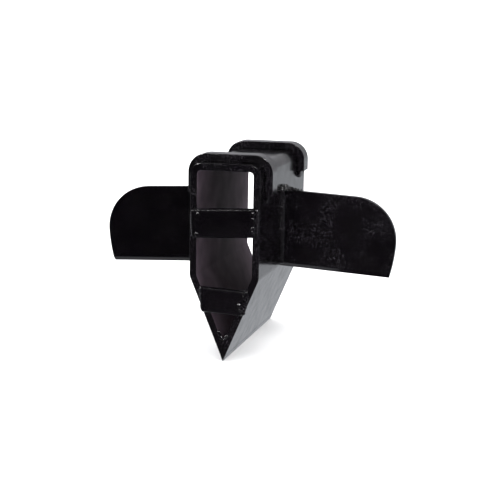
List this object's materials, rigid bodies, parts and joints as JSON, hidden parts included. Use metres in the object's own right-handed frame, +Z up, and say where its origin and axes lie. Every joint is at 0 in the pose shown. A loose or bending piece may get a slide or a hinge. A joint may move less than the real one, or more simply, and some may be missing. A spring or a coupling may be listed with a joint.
{
  "type": "post anchor spike",
  "caption": "Welded plate-steel wedge sleeve with a sharp keel, two side wings, saddle collars over its flat top and cross straps over its front end.",
  "frame": {"origin": "middle of the sleeve's flat top, level with its outer face and midway between its two ends", "axes": "+Z up, away from the keel; +Y along the sleeve, out of its open rear end; +X to the right seen from the strapped front end"},
  "size_m": [0.2854, 0.1889, 0.1883],
  "materials": {
    "painted_plate": "gloss black enamel over hot-rolled plate",
    "painted_bar": "gloss black enamel over rolled flat bar",
    "painted_weld": "gloss black enamel over weld beads"
  },
  "bodies": {
    "root": {"left_body_half": "painted_plate", "right_body_half": "painted_plate", "top_seam_weld": "painted_weld", "keel_edge_weld": "painted_weld", "front_keel_root_weld": "painted_weld", "rear_keel_root_weld": "painted_weld", "front_collar": "painted_bar", "rear_collar": "painted_bar", "front_collar_left_toe_weld": "painted_weld", "front_collar_right_toe_weld": "painted_weld", "rear_collar_left_toe_weld": "painted_weld", "rear_collar_right_toe_weld": "painted_weld", "upper_cross_strap": "painted_bar", "lower_cross_strap": "painted_bar", "upper_strap_left_weld": "painted_weld", "upper_strap_right_weld": "painted_weld", "lower_strap_left_weld": "painted_weld", "lower_strap_right_weld": "painted_weld", "left_wing": "painted_plate", "right_wing": "painted_plate", "left_wing_front_weld": "painted_weld", "left_wing_rear_weld": "painted_weld", "right_wing_front_weld": "painted_weld", "right_wing_rear_weld": "painted_weld", "left_wing_top_weld": "painted_weld", "right_wing_top_weld": "painted_weld"}
  },
  "joints": []
}
